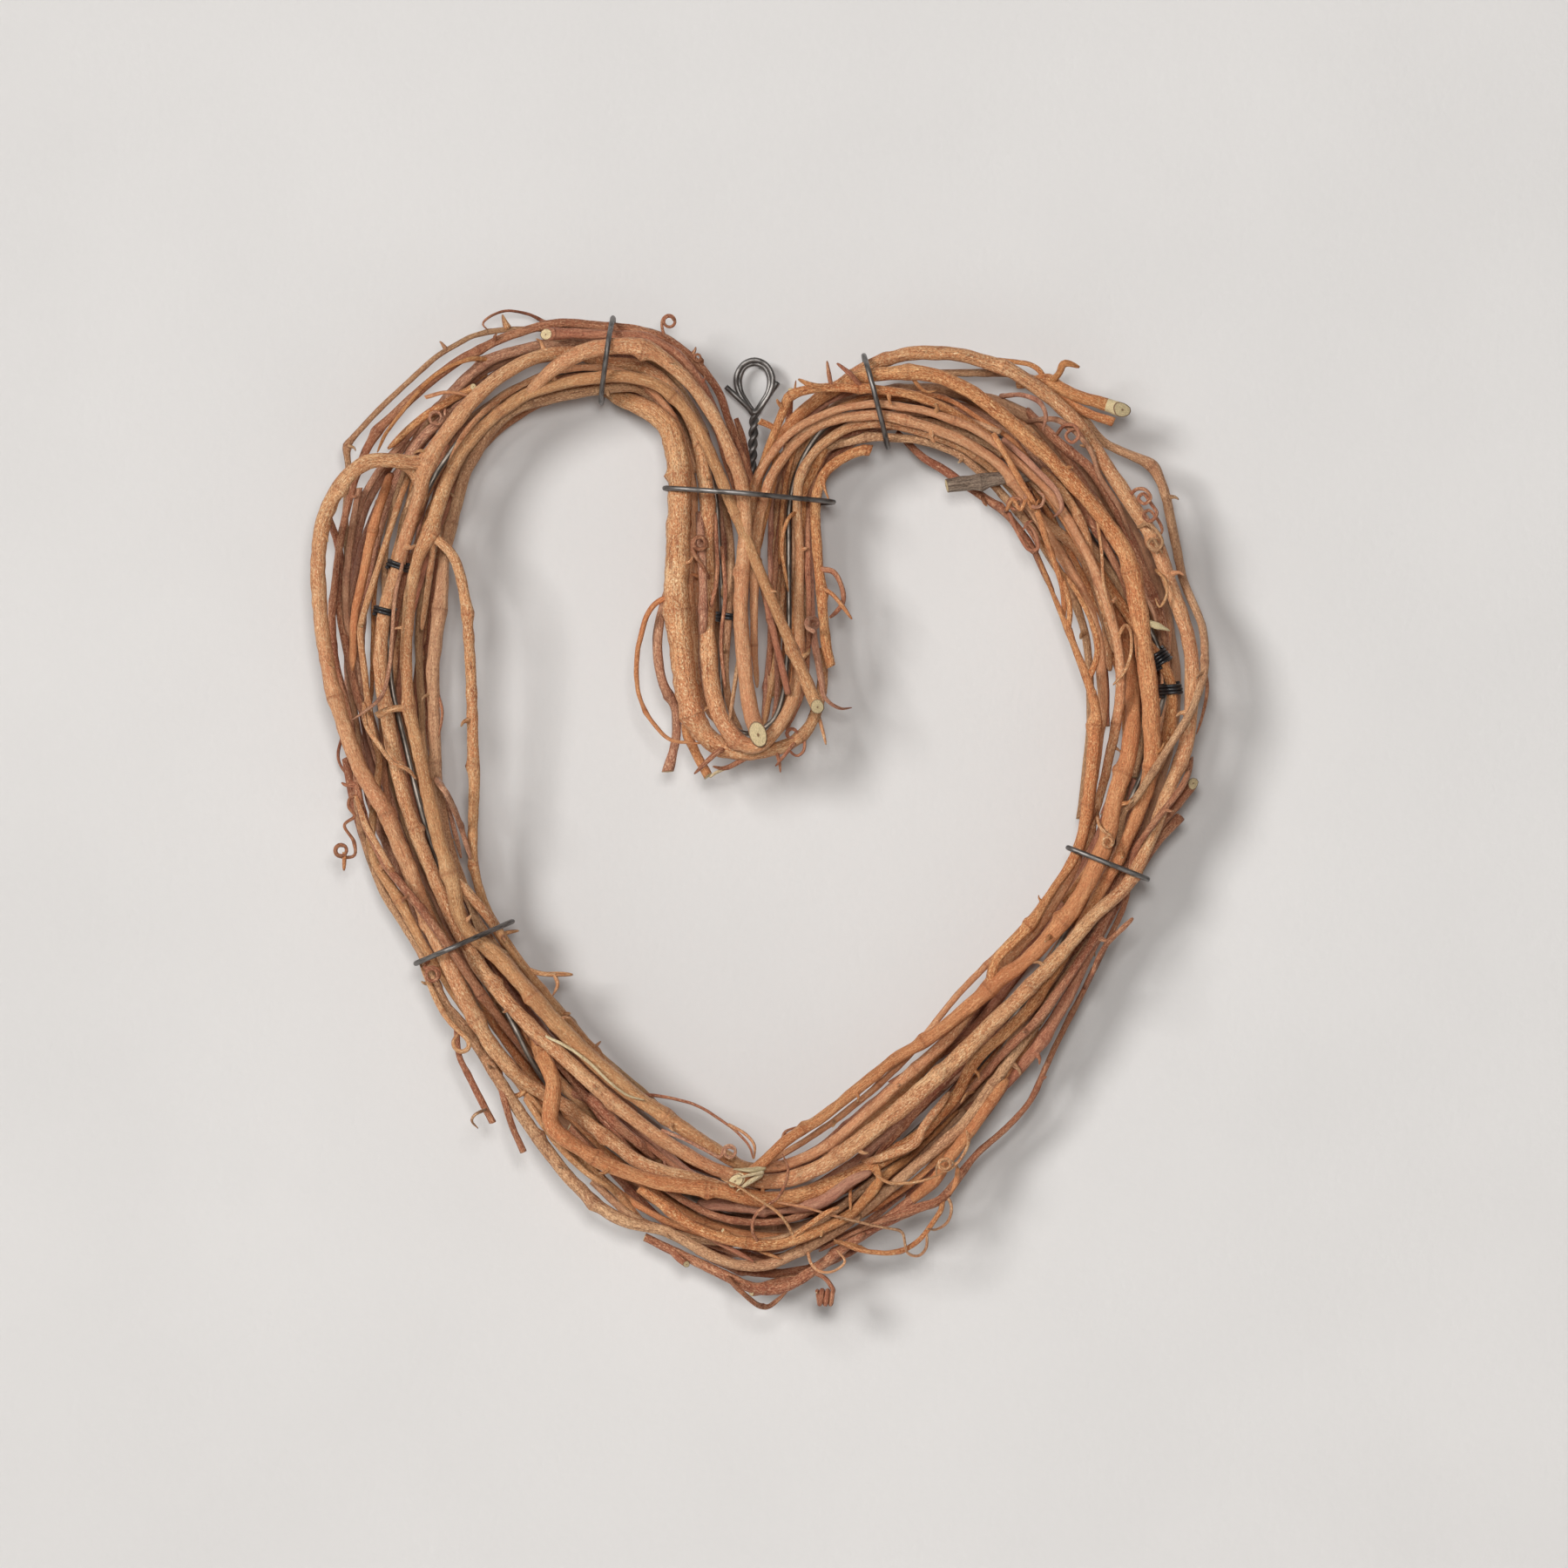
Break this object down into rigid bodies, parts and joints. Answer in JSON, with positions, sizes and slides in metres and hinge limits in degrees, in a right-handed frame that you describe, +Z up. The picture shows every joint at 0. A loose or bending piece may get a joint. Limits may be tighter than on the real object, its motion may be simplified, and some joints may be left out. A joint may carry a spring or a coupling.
{
  "type": "grapevine wreath",
  "caption": "Heart-shaped wreath of coiled grapevine canes, bound with wire ties and hung from a twisted wire eye.",
  "frame": {"origin": "centre of the hanging eye", "axes": "+Z up, +X to the right seen from the front, +Y back towards the wall behind the wreath"},
  "size_m": [0.2569, 0.041, 0.2862],
  "materials": {
    "bark_tan": "dry tan bark with fine lengthwise grain",
    "bark_golden": "dry golden brown bark",
    "bark_red": "smooth reddish brown young bark",
    "bark_mauve": "dry pinkish brown bark",
    "bark_grey": "dry grey brown bark",
    "bark_weathered": "weathered grey wood",
    "steel_wire": "dull grey annealed wire",
    "black_wire": "glossy black lacquer"
  },
  "bodies": {
    "root": {"cane_long": "bark_tan", "cane_forked": "bark_tan", "cane_thick": "bark_tan", "cane_inner": "bark_grey", "cane_crown": "bark_red", "cane_outer": "bark_grey", "cane_mauve": "bark_mauve", "cane_slim_left": "bark_tan", "cane_back_left": "bark_mauve", "cane_sleeve": "bark_red", "cane_hook": "bark_golden", "cane_back_bottom": "bark_mauve", "cane_bottom": "bark_golden", "cane_low": "bark_red", "cane_split": "bark_golden", "cane_valley": "bark_tan", "cane_slim_right": "bark_tan", "cane_cut_upper": "bark_red", "cane_cut_lower": "bark_red", "cane_elbow": "bark_golden", "cane_lobe": "bark_grey", "cane_orange": "bark_golden", "cane_tapered": "bark_mauve", "cane_green": "bark_grey", "cane_stubbed": "bark_mauve", "stub_weathered": "bark_weathered", "branch_inner": "bark_red", "cane_cut_pair": "bark_golden", "cane_hidden_1": "bark_tan", "cane_hidden_2": "bark_grey", "cane_hidden_3": "bark_mauve", "cane_hidden_4": "bark_red", "cane_hidden_5": "bark_tan", "cane_hidden_6": "bark_grey", "cane_hidden_7": "bark_mauve", "frame_wire": "steel_wire", "tie_left_lobe": "steel_wire", "tie_centre": "steel_wire", "tie_left_side": "steel_wire", "tie_right_side": "steel_wire", "tie_right_lobe": "steel_wire", "binding_left_high": "black_wire", "binding_left_low": "black_wire", "binding_finger": "black_wire", "binding_right_high": "black_wire", "binding_right_low": "black_wire", "hanging_eye": "steel_wire"}
  },
  "joints": []
}
